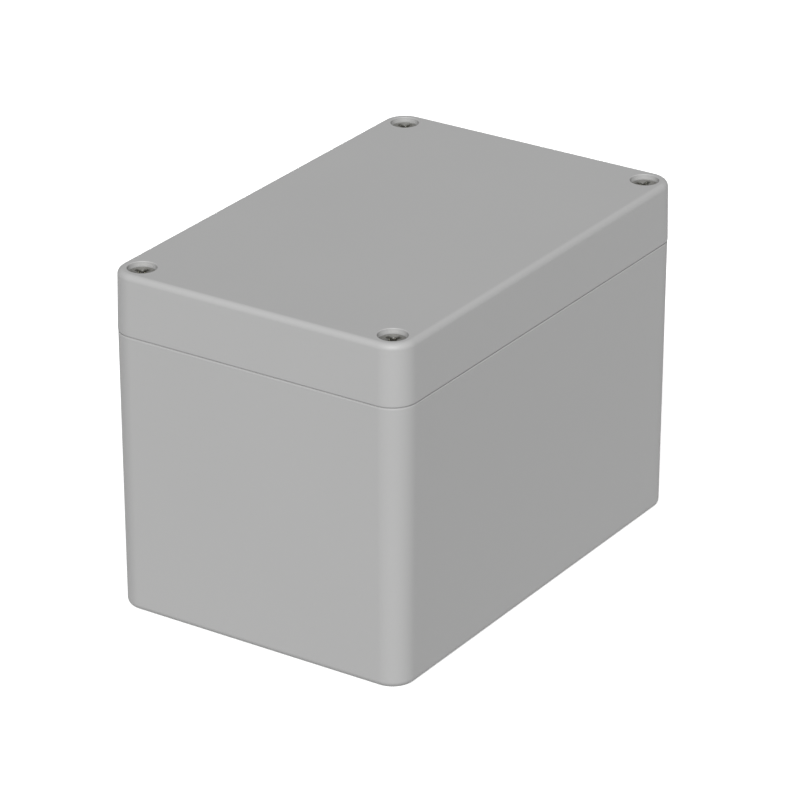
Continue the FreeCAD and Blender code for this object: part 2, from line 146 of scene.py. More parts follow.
def angle(name, text, degrees):
    """An angle that the user may change."""
    return FloatProperty(name=name, description=text, default=radians(degrees), min=0,
                         unit="ROTATION", precision=3)


def colour(name, text, red, green, blue):
    """A colour that the user may change."""
    return FloatVectorProperty(name=name, description=text, default=(red, green, blue),
                               subtype="COLOR", size=3, min=0, max=1)


def share(name, text, number):
    """A number from nothing to all that the user may change."""
    return FloatProperty(name=name, description=text, default=number, min=0, max=1,
                         subtype="FACTOR")


def strength(name, text, number):
    """A light's strength that the user may change."""
    return FloatProperty(name=name, description=text, default=number, min=0)


class HousingSizes(bpy.types.PropertyGroup):
    """Sizes of the two mouldings."""
    corner_radius: length("Corner radius", "Of the upright corners at the rim", 0.0063)
    base_draft: angle("Base draft", "How far the base's walls lean in downward", 0.36)
    lid_draft: angle("Lid draft", "How far the lid's sides lean in upward", 1.0)
    bottom_round: length("Bottom round", "Round of the base's lowest edge", 0.0015)
    roof_round: length("Roof round", "Round of the lid's top edge", 0.00145)
    rim_round: length("Rim round", "Round of the base's rim at the parting line", 0.00018)
    seam_height: length("Seam height", "Of the narrow gap that shows under the lid", 0.00035)
    seam_depth: length("Seam depth", "Of that gap", 0.00025)
    skirt_round: length("Skirt round", "Round of the lid's lowest edge", 0.00015)
    wall: length("Wall", "Thickness of the walls at the rim", 0.0035)
    floor: length("Floor", "Thickness of the base's floor", 0.003)
    roof: length("Roof", "Thickness of the lid's roof", 0.003)
    hollow_draft: angle("Hollow draft", "Lean of the walls inside", 0.5)
    hollow_round: length("Hollow corners", "Radius of the upright corners inside", 0.0025)
    foot_round: length("Hollow foot", "Round between the walls and the floor inside", 0.0012)
    ceiling_round: length("Ceiling round", "Round between the lid's walls and its roof inside",
                          0.0006)
    pod_wall: length("Pod wall", "Plastic around the wall screws' channels", 0.0026)
    pod_round: length("Pod corner", "Radius of the pods' inner corners", 0.0032)
    mark_radius: length("Ejector mark radius", "Of the shallow marks inside", 0.003)
    mark_depth: length("Ejector mark depth", "Of the shallow marks inside", 0.00012)
    floor_mark_x: length("Floor marks, along", "Place of the floor's marks along X", 0.022)
    floor_mark_y: length("Floor marks, across", "Place of the floor's marks along Y", 0.014)
    roof_mark_x: length("Roof marks, along", "Place of the roof's marks along X", 0.036)
    roof_mark_y: length("Roof marks, across", "Place of the roof's marks along Y", 0.012)


class HoleSizes(bpy.types.PropertyGroup):
    """Sizes of the holes, channels and bosses."""
    channel_radius: length("Channel radius", "Of the wall screws' channels", 0.0038)
    channel_floor: length("Channel floor", "Plastic under the wall screws' heads", 0.004)
    wall_hole_radius: length("Wall hole radius", "Of the holes for wall screws", 0.00225)
    boss_radius: length("Boss radius", "Of the bosses for a circuit board", 0.0035)
    boss_height: length("Boss height", "Above the floor inside", 0.006)
    boss_foot: length("Boss foot", "Round at a boss's foot", 0.0008)
    boss_round: length("Boss round", "Round of a boss's upper edge", 0.0002)
    pilot_radius: length("Pilot radius", "Of the holes in the bosses", 0.00135)
    pilot_depth: length("Pilot depth", "Of the holes in the bosses", 0.007)
    recess_radius: length("Recess radius", "Of the screw heads' recesses", 0.00345)
    recess_round: length("Recess round", "Round of the recesses' upper edge", 0.0002)
    passage_radius: length("Passage radius", "Of the holes that the threads pass", 0.0022)
    web: length("Web", "Plastic under the screw heads", 0.002)
    tip_room: length("Tip room", "Free depth under a screw's tip", 0.0015)
    seat_play: length("Insert seat", "Play around a thread insert", 0.00002)
    mouth: length("Mouth chamfer", "Chamfer at the mouths of the base's holes", 0.0003)
    core_half: length("Core half width", "Of the hollows in the lid's corners", 0.0032)
    core_round: length("Core corners", "Radius of those hollows' corners", 0.0015)
    core_roof: length("Core roof", "Plastic above those hollows", 0.004)
    core_end: length("Core end", "Round at the end of those hollows", 0.0008)


class SealSizes(bpy.types.PropertyGroup):
    """Sizes of the tongue, its groove and the seal."""
    tongue_inset: length("Tongue inset", "From the hollow's wall to the tongue", 0.0003)
    tongue_width: length("Tongue width", "Across the tongue", 0.0012)
    tongue_round: length("Tongue round", "Round of the tongue's upper edges", 0.00035)
    tongue_play: length("Tongue play", "Room on each side of the tongue", 0.0006)
    groove_lip: length("Groove lip", "Plastic on the groove's inner side", 0.0014)
    seal_play: length("Seal play", "Room on each side of the seal", 0.00005)
    seal_round: length("Seal round", "Round of the seal's long edges", 0.0003)


class ScrewSizes(bpy.types.PropertyGroup):
    """Sizes of the lid screws, their inserts and washers."""
    head_height: length("Head height", "Of a screw's head", 0.0028)
    head_round: length("Head round", "Round of the head's upper edge", 0.0002)
    seat_round: length("Seat round", "Round of the head's lower edge", 0.00012)
    shank_radius: length("Shank radius", "Of the thin part of a screw", 0.0015)
    thread_radius: length("Thread radius", "Out to the thread's crest", 0.002)
    thread_length: length("Thread length", "Of the threaded part of a screw", 0.0078)
    thread_tip: length("Thread tip", "Chamfer of a screw's end", 0.0005)
    thread_end: length("Thread end", "Slope from the thread to the thin part", 0.0002)
    thread_depth: length("Thread depth", "From the crest to the root", 0.00038)
    pitch: length("Pitch", "Rise of the thread in one turn", 0.0007)
    cross_half: length("Cross reach", "Half the width of the cross recess", 0.00215)
    cross_wing: length("Cross wing", "Half the width of one of its wings", 0.0005)
    cross_edge: length("Cross edge", "Bright chamfer around the cross recess", 0.00014)
    cross_depth: length("Cross depth", "Of the cross recess", 0.0019)
    cross_draft: angle("Cross draft", "Lean of the recess's walls", 8.0)
    cross_point: length("Cross point", "Depth of the taper at the recess's bottom", 0.0003)
    cross_left: share("Cross point width", "Share of the width left at its end", 0.3)
    thread_play: length("Thread play", "Room around the screw in its insert", 0.00005)
    insert_thread: length("Insert thread", "Depth of the thread in an insert", 0.0002)
    lead_in: length("Insert lead-in", "Chamfer of an insert's lower edge", 0.0004)
    insert_edge: length("Insert edge", "Chamfer of an insert's upper edge", 0.0003)
    insert_mouth: length("Insert mouth", "Chamfer of an insert's bore at the top", 0.0003)
    knurl: share("Knurl", "Share of the radius that every other line is pressed in", 0.035)
    waist: length("Waist", "Depth of the groove around an insert", 0.0004)
    waist_half: length("Waist half width", "Half the width of that groove", 0.0006)
    washer_play: length("Washer play", "Room around the shank in a washer", 0.0001)
    washer_round: length("Washer round", "Round of a washer's edges", 0.0002)


class Finishes(bpy.types.PropertyGroup):
    """Colours of the materials and how rough they are."""
    housing: colour("Housing", "Moulded plastic", 0.36, 0.36, 0.359)
    housing_rough: share("Housing roughness", "Moulded plastic", 0.52)
    rubber: colour("Seal", "Cellular rubber", 0.028, 0.028, 0.03)
    steel: colour("Screws", "Stainless steel", 0.42, 0.416, 0.392)
    brass: colour("Inserts", "Brass", 0.72, 0.52, 0.24)
    nylon: colour("Washers", "Natural nylon", 0.78, 0.76, 0.68)


class StageSettings(bpy.types.PropertyGroup):
    """The camera's place, the floor and the lights."""
    azimuth: FloatProperty(name="Azimuth", description="Of the camera around the box",
                           default=radians(-56.579), unit="ROTATION")
    elevation: FloatProperty(name="Elevation", description="Of the camera above the floor",
                             default=radians(24.856), unit="ROTATION")
    distance: length("Distance", "From the camera to the box's middle", 1.046053)
    shift_right: FloatProperty(name="Step right", description="Of the camera, off the middle",
                               default=0.000208, unit="LENGTH", precision=6)
    shift_up: FloatProperty(name="Step up", description="Of the camera, off the middle",
                            default=-0.002555, unit="LENGTH", precision=6)
    lens: FloatProperty(name="Lens", description="Focal length in millimetres",
                        default=199.84, min=1)
    floor_size: length("Floor size", "Width of the floor", 20.0)
    floor_colour: colour("Floor colour", "Of the paper on the floor", 0.93, 0.93, 0.93)
    floor_glow: strength("Floor glow", "Light of the white floor itself", 0.3)
    sky: strength("Sky", "Even light from all round", 0.295)
    key: strength("Key light", "Sun from behind the camera", 3.95)
    key_height: angle("Key height", "Of the key light above the floor", 39.6)
    key_aside: angle("Key aside", "How far the key light stands to the camera's left", 2.2)
    key_spread: angle("Key spread", "Width of the key light as seen from the box", 20.0)
    fill: strength("Fill light", "Weak light on the far sides, from below", 1.8)
    fill_depth: angle("Fill depth", "Of the fill light below the floor", 15.0)
    fill_spread: angle("Fill spread", "Width of the fill light as seen from the box", 20.0)


class BoxSettings(bpy.types.PropertyGroup):
    """All that a user may change."""
    housing: PointerProperty(type=HousingSizes)
    holes: PointerProperty(type=HoleSizes)
    seal: PointerProperty(type=SealSizes)
    screws: PointerProperty(type=ScrewSizes)
    finishes: PointerProperty(type=Finishes)
    stage: PointerProperty(type=StageSettings)


# Tools for modelling

def deselect():
    """Leave edit mode and select nothing."""
    if bpy.context.mode != "OBJECT":
        bpy.ops.object.mode_set(mode="OBJECT")
    bpy.ops.object.select_all(action="DESELECT")


def select_only(*pieces):
    """Select these objects alone, with the first one active."""
    deselect()
    for piece in pieces:
        piece.select_set(True)
    bpy.context.view_layer.objects.active = pieces[0]


def middle(item):
    """The middle of a vertex, an edge or a face."""
    if isinstance(item, bmesh.types.BMVert):
        return item.co.copy()
    if isinstance(item, bmesh.types.BMEdge):
        return (item.verts[0].co + item.verts[1].co) / 2
    return item.calc_center_median()


def pick(kind, test):
    """In edit mode, select the vertices, edges or faces that pass a test, and no others."""
    bpy.ops.mesh.select_mode(type=kind)
    bpy.ops.mesh.select_all(action="DESELECT")
    data = bpy.context.object.data
    mesh = bmesh.from_edit_mesh(data)
    found = 0
    for item in {"VERT": mesh.verts, "EDGE": mesh.edges, "FACE": mesh.faces}[kind]:
        if test(item):
            item.select_set(True)
            found += 1
    mesh.select_flush_mode()
    bmesh.update_edit_mesh(data)
    if not found:
        raise RuntimeError(f"nothing to select on {bpy.context.object.name}")


def at_height(height):
    """A test for the edges of a level face at a height."""
    return lambda edge: (all(abs(vert.co.z - height) < NEAR for vert in edge.verts)
                         and any(abs(face.normal.z) < WALL for face in edge.link_faces))


def on_circle(height, radius):
    """A test for edges of a level circle about the Z axis."""
    return lambda edge: all(abs(vert.co.z - height) < NEAR
                            and abs(vert.co.xy.length - radius) < NEAR for vert in edge.verts)


def round_off(test, radius, steps=EDGE_STEPS):
    """Round the edges that pass a test."""
    pick("EDGE", test)
    bpy.ops.mesh.bevel(offset=radius, segments=steps, profile=0.5, affect="EDGES")


def face_outward():
    """Turn all the faces of a closed piece outward."""
    bpy.ops.mesh.select_all(action="SELECT")
    bpy.ops.mesh.normals_make_consistent(inside=False)


def plate(half_x, half_y, height, radius):
    """Start a piece from a level rectangle with round corners, in edit mode."""
    deselect()
    bpy.ops.mesh.primitive_plane_add(size=2, enter_editmode=True)
    bpy.ops.transform.resize(value=(half_x, half_y, 1), center_override=(0, 0, 0))
    bpy.ops.transform.translate(value=(0, 0, height))
    bpy.ops.mesh.bevel(offset=radius, segments=CORNER_STEPS, profile=0.5, affect="VERTICES")
    return bpy.context.object


def cross_plate(half_x, half_y, arm_x, arm_y, height, outer_radius, inner_radius):
    """Start a piece from a level rectangle with a square notch at each corner, in edit mode.

    The notches begin arm_x and arm_y from the middle.
    """
    deselect()
    bpy.ops.mesh.primitive_grid_add(x_subdivisions=3, y_subdivisions=3, size=2,
                                    enter_editmode=True)
    # The grid's lines stand at 1 and at 1/3. Once the outer ones have moved to their place,
    # they are too near the middle to be picked again.
    for axis, far, near in ((0, half_x, arm_x), (1, half_y, arm_y)):
        for least, size in ((0.5, far), (0.2, 3 * near)):
            pick("VERT", lambda vert: abs(vert.co[axis]) > least)
            sizes = [1, 1, 1]
            sizes[axis] = size
            bpy.ops.transform.resize(value=sizes, center_override=(0, 0, 0))
    pick("FACE", lambda face: abs(middle(face).x) > arm_x and abs(middle(face).y) > arm_y)
    bpy.ops.mesh.delete(type="FACE")
    bpy.ops.mesh.select_all(action="SELECT")
    bpy.ops.mesh.dissolve_limited(angle_limit=radians(1))
    bpy.ops.mesh.select_all(action="SELECT")
    bpy.ops.transform.translate(value=(0, 0, height))
    pick("VERT", lambda vert: abs(vert.co.x) < arm_x + NEAR and abs(vert.co.y) < arm_y + NEAR)
    bpy.ops.mesh.bevel(offset=inner_radius, segments=CORNER_STEPS, profile=0.5, affect="VERTICES")
    if outer_radius:
        pick("VERT", lambda vert: (abs(vert.co.x) > half_x - NEAR
                                   or abs(vert.co.y) > half_y - NEAR))
        bpy.ops.mesh.bevel(offset=outer_radius, segments=CORNER_STEPS, profile=0.5,
                           affect="VERTICES")
    bpy.ops.mesh.select_all(action="SELECT")
    return bpy.context.object


def hollow_plate(grow, height):
    """The outline of the hollow between the pods, moved outward by a distance."""
    sizes = bpy.context.scene.box_settings
    housing = sizes.housing
    hole_x, hole_y = half_spacing("wall_holes")
    around = sizes.holes.channel_radius + housing.pod_wall
    return cross_plate(LID_HIGH.x - housing.wall + grow, LID_HIGH.y - housing.wall + grow,
                       hole_x - around + grow, hole_y - around + grow, height,
                       housing.hollow_round + grow, housing.pod_round - grow)


def raise_straight(rise):
    """Give the selected plate a thickness, up or down, and close it."""
    bpy.ops.mesh.extrude_region_move(TRANSFORM_OT_translate={"value": (0, 0, rise)})
    face_outward()


def raise_leaning(start, end, lean, straight=START):
    """Give the selected plate a thickness with walls that lean inward away from it."""
    way = 1 if end > start else -1
    raise_straight(way * straight)
    lead = start + way * straight
    pick("FACE", lambda face: abs(middle(face).z - lead) < NEAR and abs(face.normal.z) > LEVEL)
    depth = abs(end - start) - straight
    bpy.ops.mesh.inset(thickness=depth * tan(lean), depth=depth, use_even_offset=True)


def ring_plate(inner, outer, height):
    """A level band that follows the hollow's outline, all selected."""
    piece = hollow_plate(outer, height)
    bpy.ops.mesh.inset(thickness=outer - inner, depth=0, use_even_offset=True)
    bpy.ops.mesh.delete(type="ONLY_FACE")
    bpy.ops.mesh.select_all(action="SELECT")
    return piece


def turned(points, closed=False, steps=TURN_STEPS):
    """A round piece about the Z axis, from (radius, height) points, left in edit mode."""
    deselect()
    bpy.ops.mesh.primitive_plane_add(size=1, enter_editmode=True)
    bpy.ops.mesh.select_mode(type="VERT")
    bpy.ops.mesh.merge(type="CENTER")
    here = Vector((points[0][0], 0, points[0][1]))
    bpy.ops.transform.translate(value=here)
    for radius, height in points[1:]:
        there = Vector((radius, 0, height))
        bpy.ops.mesh.extrude_vertices_move(TRANSFORM_OT_translate={"value": there - here})
        here = there
    if closed:
        first, last = Vector((points[0][0], 0, points[0][1])), here
        pick("VERT", lambda vert: (vert.co - first).length < NEAR or (vert.co - last).length < NEAR)
        bpy.ops.mesh.edge_face_add()
    bpy.ops.mesh.select_all(action="SELECT")
    bpy.ops.mesh.spin(steps=steps, angle=2 * pi, center=(0, 0, 0), axis=(0, 0, 1))
    bpy.ops.mesh.select_all(action="SELECT")
    bpy.ops.mesh.remove_doubles(threshold=NEAR / 2)
    face_outward()
    return bpy.context.object


def chamfered(radius, height, size):
    """Points of a cutter's end that gives a hole a chamfered mouth at a height."""
    wide = radius + size + OVER
    return [(radius, height - size), (wide, height + OVER), (wide, height + PAST),
            (0, height + PAST)]


def arc(size):
    """Points (aside, along) from a wall round to a face, past it, for a round of a size."""
    steepest = radians(75)
    past = 0.1 * size
    turns = [steepest * step / EDGE_STEPS for step in range(EDGE_STEPS + 1)]
    points = [(size * (1 - cos(turn)), size * (sin(turn) - 1)) for turn in turns]
    aside, along = points[-1]
    return points + [(aside + (past - along) * tan(steepest), past)]


def add_modifier(piece, kind, **values):
    """Give a piece a modifier and apply it."""
    select_only(piece)
    bpy.ops.object.modifier_add(type=kind)
    modifier = piece.modifiers[-1]
    for name, value in values.items():
        setattr(modifier, name, value)
    bpy.ops.object.modifier_apply(modifier=modifier.name)


def combine(piece, operation, *tools):
    """Join other closed pieces to a piece, or cut it by them, and use them up."""
    if len(tools) > 1:
        select_only(*tools)
        bpy.ops.object.join()
    add_modifier(piece, "BOOLEAN", operation=operation, solver="EXACT", object=tools[0])
    select_only(tools[0])
    bpy.ops.object.delete()


def at_corners(piece, place_x, place_y, turns=()):
    """Copies of a piece at the four places that mirror one another, turned by degrees if given."""
    copies = []
    for corner, (side_x, side_y) in CORNERS.items():
        select_only(piece)
        bpy.ops.object.duplicate()
        copy = bpy.context.object
        copy.location = (side_x * place_x, side_y * place_y, 0)
        copy.rotation_euler.z = radians(turns[corner]) if turns else 0
        bpy.ops.object.transform_apply(location=True, rotation=True, scale=False)
        copies.append(copy)
    select_only(piece)
    bpy.ops.object.delete()
    return copies


def smooth(piece, sharpest):
    """Merge, turn outward and shade a finished piece."""
    select_only(piece)
    bpy.ops.object.mode_set(mode="EDIT")
    bpy.ops.mesh.select_all(action="SELECT")
    bpy.ops.mesh.remove_doubles(threshold=NEAR / 2)
    face_outward()
    select_only(piece)
    bpy.ops.object.shade_smooth_by_angle(angle=radians(sharpest))
    add_modifier(piece, "WEIGHTED_NORMAL", mode="FACE_AREA", weight=50, keep_sharp=True)


def hand_over(piece, name, node, body, material):
    """Name a finished piece, give it its material and its body, and hide the CAD node it stands for.
    """
    piece.name = name
    piece.data.name = name
    piece.data.materials.clear()
    piece.data.materials.append(material)
    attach(piece, body)
    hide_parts(node)


# Tools for materials

class Value:
    """A shader socket that can be added, multiplied and so on like a number."""

    def __init__(self, graph, socket):
        self.graph = graph
        self.socket = socket

    def sum_of(self, operation, first, second):
        """The result of a Math node on two values."""
        node = self.graph.node("ShaderNodeMath", {"operation": operation}, {0: first, 1: second})
        return Value(self.graph, node.outputs[0])

    def __add__(self, other):
        return self.sum_of("ADD", self, other)

    def __radd__(self, other):
        return self.sum_of("ADD", other, self)

    def __sub__(self, other):
        return self.sum_of("SUBTRACT", self, other)

    def __rsub__(self, other):
        return self.sum_of("SUBTRACT", other, self)

    def __mul__(self, other):
        return self.sum_of("MULTIPLY", self, other)

    def __rmul__(self, other):
        return self.sum_of("MULTIPLY", other, self)


class Material:
    """A material whose nodes are written as sums."""

    def __init__(self, name):
        self.material = bpy.data.materials.new(name)
        self.material.use_nodes = True
        self.nodes = self.material.node_tree.nodes
        self.links = self.material.node_tree.links
        self.shader = self.nodes["Principled BSDF"]
        self.place = self.value("ShaderNodeTexCoord", {}, {}, "Object")

    def node(self, kind, settings, inputs):
        """Any node, from its type, its settings and its sockets' values or links."""
        node = self.nodes.new(kind)
        for name, setting in settings.items():
            setattr(node, name, setting)
        self.fill(node, inputs)
        return node

    def fill(self, node, inputs):
        """Give a node's sockets their values or links."""
        for name, given in inputs.items():
            if isinstance(given, Value):
                self.links.new(given.socket, node.inputs[name])
            else:
                node.inputs[name].default_value = given

    def value(self, kind, settings, inputs, output=0):
        """One output of a new node."""
        return Value(self, self.node(kind, settings, inputs).outputs[output])

    def noise(self, size, detail=2.0, place=None):
        """Soft spots of about a size, from 0 to 1."""
        return self.value("ShaderNodeTexNoise", {},
                          {"Vector": place or self.place, "Scale": 1 / size, "Detail": detail})

    def mix(self, first, second, amount):
        """A colour between two colours."""
        return self.value("ShaderNodeMix", {"data_type": "RGBA"},
                          {"Factor": amount, 6: first, 7: second}, 2)

    def bump(self, height, depth, amount):
        """A Normal that raises the surface by a height from 0 to 1, depth at most."""
        return self.value("ShaderNodeBump", {},
                          {"Height": height, "Distance": depth, "Strength": amount})

    def surface(self, **inputs):
        """Give the shader its values or links, by the sockets' names with _ for spaces."""
        self.fill(self.shader, {name.replace("_", " "): given for name, given in inputs.items()})
        return self.material


def tint(base, factor):
    """A colour made lighter or darker, with full opacity."""
    return tuple(min(1, part * factor) for part in base) + (1,)


def housing_material():
    """Matt light grey polycarbonate, as it comes from a finely eroded mould."""
    made = Material("moulded_polycarbonate")
    finish = bpy.context.scene.box_settings.finishes
    flow = made.noise(0.045, 3)
    grain = made.noise(0.00022, 2)
    fleck = made.noise(0.0011, 2)
    shade = 0.6 * flow + 0.25 * fleck + 0.15 * grain
    base = made.mix(tint(finish.housing, 0.965), tint(finish.housing, 1.035), shade)
    rough = finish.housing_rough + 0.08 * (fleck - 0.5) + 0.05 * (flow - 0.5)
    relief = made.bump(0.7 * grain + 0.3 * fleck, 0.00005, 0.45)
    return made.surface(Base_Color=base, Roughness=rough, Normal=relief, IOR=1.58,
                        Specular_IOR_Level=0.35)


def rubber_material():
    """Black cellular rubber with open pores."""
    made = Material("cellular_rubber")
    finish = bpy.context.scene.box_settings.finishes
    pores = made.value("ShaderNodeTexVoronoi", {},
                       {"Vector": made.place, "Scale": 1 / 0.00035, "Randomness": 1.0})
    cloud = made.noise(0.004, 3)
    base = made.mix(tint(finish.rubber, 0.7), tint(finish.rubber, 1.5), 0.5 * cloud + 0.5 * pores)
    relief = made.bump(pores, 0.00012, 0.6)
    return made.surface(Base_Color=base, Roughness=0.78 + 0.15 * cloud, Normal=relief)


def steel_material():
    """Stainless steel turned on a lathe, with fine rings about each screw's own axis."""
    made = Material("turned_stainless_steel")
    finish = bpy.context.scene.box_settings.finishes
    own = made.value("ShaderNodeAttribute", {"attribute_name": "own_place"}, {}, "Vector")
    across = made.value("ShaderNodeVectorMath", {"operation": "MULTIPLY"},
                        {0: own, 1: (1, 1, 0)})
    radius = made.value("ShaderNodeVectorMath", {"operation": "LENGTH"}, {0: across}, "Value")
    line = made.value("ShaderNodeCombineXYZ", {}, {"X": radius})
    rings = made.noise(0.00009, 3, line)
    stain = made.noise(0.0012, 3)
    base = made.mix(tint(finish.steel, 0.6), tint(finish.steel, 1.4), 0.5 * rings + 0.5 * stain)
    relief = made.bump(rings, 0.00002, 0.7)
    return made.surface(Base_Color=base, Metallic=1.0, Roughness=0.2 + 0.2 * stain, Normal=relief)


def brass_material():
    """Free-cutting brass, slightly dulled."""
    made = Material("turned_brass")
    finish = bpy.context.scene.box_settings.finishes
    stain = made.noise(0.0015, 4)
    scratch = made.noise(0.0002, 2)
    base = made.mix(tint(finish.brass, 0.8), tint(finish.brass, 1.1), stain)
    relief = made.bump(scratch, 0.00001, 0.4)
    return made.surface(Base_Color=base, Metallic=1.0, Roughness=0.28 + 0.14 * stain, Normal=relief)


def nylon_material():
    """Natural nylon, milky and slightly waxy."""
    made = Material("natural_nylon")
    finish = bpy.context.scene.box_settings.finishes
    cloud = made.noise(0.002, 3)
    base = made.mix(tint(finish.nylon, 0.94), tint(finish.nylon, 1.04), cloud)
    relief = made.bump(made.noise(0.0003, 2), 0.00002, 0.3)
    return made.surface(Base_Color=base, Roughness=0.42 + 0.1 * cloud, Normal=relief)


# Pieces

class BoxOperator(bpy.types.Operator):
    """What all the operators share."""
    bl_options = {"REGISTER", "UNDO"}


class BOX_OT_base_shell(BoxOperator):
    """The deep lower moulding: walls, pods, tongue, board bosses and holes"""
    bl_idname = "box.base_shell"
    bl_label = "Base moulding"

    def execute(self, context):
        sizes = context.scene.box_settings
        housing, holes, seal = sizes.housing, sizes.holes, sizes.seal
        floor = BASE_LOW.z + housing.floor

        shoulder = RIM - housing.seam_height
        shell = plate(BASE_HIGH.x, BASE_HIGH.y, shoulder, housing.corner_radius)
        raise_leaning(shoulder, BASE_LOW.z, housing.base_draft)
        round_off(at_height(BASE_LOW.z), housing.bottom_round, steps=10)
        round_off(at_height(shoulder), housing.rim_round)
        pick("FACE", lambda face: face.normal.z > LEVEL and abs(middle(face).z - shoulder) < NEAR)
        bpy.ops.mesh.inset(thickness=housing.seam_depth - housing.rim_round, depth=0)
        bpy.ops.mesh.extrude_region_move(TRANSFORM_OT_translate={"value": (0, 0, RIM - shoulder)})

        tongue = ring_plate(seal.tongue_inset, seal.tongue_inset + seal.tongue_width, RIM - SUNK)
        raise_straight(BASE_HIGH.z - RIM + SUNK)
        round_off(at_height(BASE_HIGH.z), seal.tongue_round)
        combine(shell, "UNION", tongue)

        hollow = hollow_plate(0, RIM)
        raise_leaning(RIM, floor, housing.hollow_draft)
        round_off(at_height(floor), housing.foot_round)
        pick("FACE", lambda face: face.normal.z > LEVEL and abs(middle(face).z - RIM) < NEAR)
        bpy.ops.mesh.extrude_region_move(TRANSFORM_OT_translate={"value": (0, 0, PAST)})
        combine(shell, "DIFFERENCE", hollow)

        boss_x, boss_y = half_spacing("board_bosses")
        top = floor + holes.boss_height
        foot = [(holes.boss_radius + aside, floor - along)
                for aside, along in reversed(arc(holes.boss_foot))]
        boss = turned([(0, floor - SUNK), (foot[0][0], floor - SUNK)] + foot
                      + [(holes.boss_radius, top), (0, top)], steps=64)
        round_off(on_circle(top, holes.boss_radius), holes.boss_round, steps=3)
        combine(shell, "UNION", *at_corners(boss, boss_x, boss_y))

        pilot = turned([(0, top - holes.pilot_depth), (holes.pilot_radius, top - holes.pilot_depth)]
                       + chamfered(holes.pilot_radius, top, holes.mouth), steps=48)
        cutters = at_corners(pilot, boss_x, boss_y)
        ledge = BASE_LOW.z + holes.channel_floor
        channel = turned([(0, BASE_LOW.z - PAST), (holes.wall_hole_radius, BASE_LOW.z - PAST),
                          (holes.wall_hole_radius, ledge), (holes.channel_radius, ledge)]
                         + chamfered(holes.channel_radius, RIM, holes.mouth), steps=64)
        cutters += at_corners(channel, *half_spacing("wall_holes"))
        seat = (INSERT_HIGH.x - INSERT_LOW.x) / 2 + holes.seat_play
        tip = SCREW_LOW.z - holes.tip_room
        well = turned([(0, tip), (holes.passage_radius, tip), (holes.passage_radius, INSERT_LOW.z),
                       (seat, INSERT_LOW.z)] + chamfered(seat, RIM, holes.mouth), steps=64)
        cutters += at_corners(well, SCREW_PLACE.x, SCREW_PLACE.y)
        mark = turned([(0, floor - housing.mark_depth),
                       (housing.mark_radius, floor - housing.mark_depth),
                       (housing.mark_radius, floor + PAST), (0, floor + PAST)], steps=48)
        cutters += at_corners(mark, housing.floor_mark_x, housing.floor_mark_y)
        combine(shell, "DIFFERENCE", *cutters)

        smooth(shell, sharpest=32)
        hand_over(shell, "base_shell", "base", "base", housing_material())
        return {"FINISHED"}


class BOX_OT_lid_shell(BoxOperator):
    """The shallow cover: hollow, seal groove, stepped screw holes and corner cores"""
    bl_idname = "box.lid_shell"
    bl_label = "Lid moulding"

    def execute(self, context):
        sizes = context.scene.box_settings
        housing, holes, seal = sizes.housing, sizes.holes, sizes.seal
        ceiling = ROOF - housing.roof

        shell = plate(LID_HIGH.x, LID_HIGH.y, RIM, housing.corner_radius)
        raise_leaning(RIM, ROOF, housing.lid_draft)
        round_off(at_height(ROOF), housing.roof_round, steps=10)
        round_off(at_height(RIM), housing.skirt_round)

        inner = seal.tongue_inset - seal.tongue_play
        outer = seal.tongue_inset + seal.tongue_width + seal.tongue_play
        hollow = hollow_plate(inner - seal.groove_lip, RIM)
        raise_leaning(RIM, ceiling, housing.hollow_draft)
        round_off(at_height(ceiling), housing.ceiling_round)
        pick("FACE", lambda face: face.normal.z < -LEVEL and abs(middle(face).z - RIM) < NEAR)
        bpy.ops.mesh.extrude_region_move(TRANSFORM_OT_translate={"value": (0, 0, -PAST)})
        combine(shell, "DIFFERENCE", hollow)
        groove = ring_plate(inner, outer, RIM - PAST)
        raise_straight(SEAL_HIGH.z - RIM + PAST)
        combine(shell, "DIFFERENCE", groove)

        seat = SCREW_HIGH.z - sizes.screws.head_height
        web = seat - holes.web
        wide = holes.recess_radius
        mouth = [(wide + aside, ROOF + along) for aside, along in arc(holes.recess_round)]
        screw_hole = turned([(0, RIM - PAST), (wide, RIM - PAST), (wide, web),
                             (holes.passage_radius, web), (holes.passage_radius, seat),
                             (wide, seat)] + mouth
                            + [(mouth[-1][0], ROOF + PAST), (0, ROOF + PAST)])
        cutters = at_corners(screw_hole, SCREW_PLACE.x, SCREW_PLACE.y)
        core = plate(holes.core_half, holes.core_half, RIM - PAST, holes.core_round)
        raise_straight(ROOF - holes.core_roof - RIM + PAST)
        round_off(at_height(ROOF - holes.core_roof), holes.core_end, steps=4)
        cutters += at_corners(core, *half_spacing("wall_holes"))
        combine(shell, "DIFFERENCE", *cutters)
        mark = turned([(0, ceiling - PAST), (housing.mark_radius, ceiling - PAST),
                       (housing.mark_radius, ceiling + housing.mark_depth),
                       (0, ceiling + housing.mark_depth)], steps=48)
        marks = at_corners(mark, housing.roof_mark_x, housing.roof_mark_y)
        combine(shell, "DIFFERENCE", *marks)

        smooth(shell, sharpest=32)
        hand_over(shell, "lid_shell", "lid", "lid", housing_material())
        return {"FINISHED"}


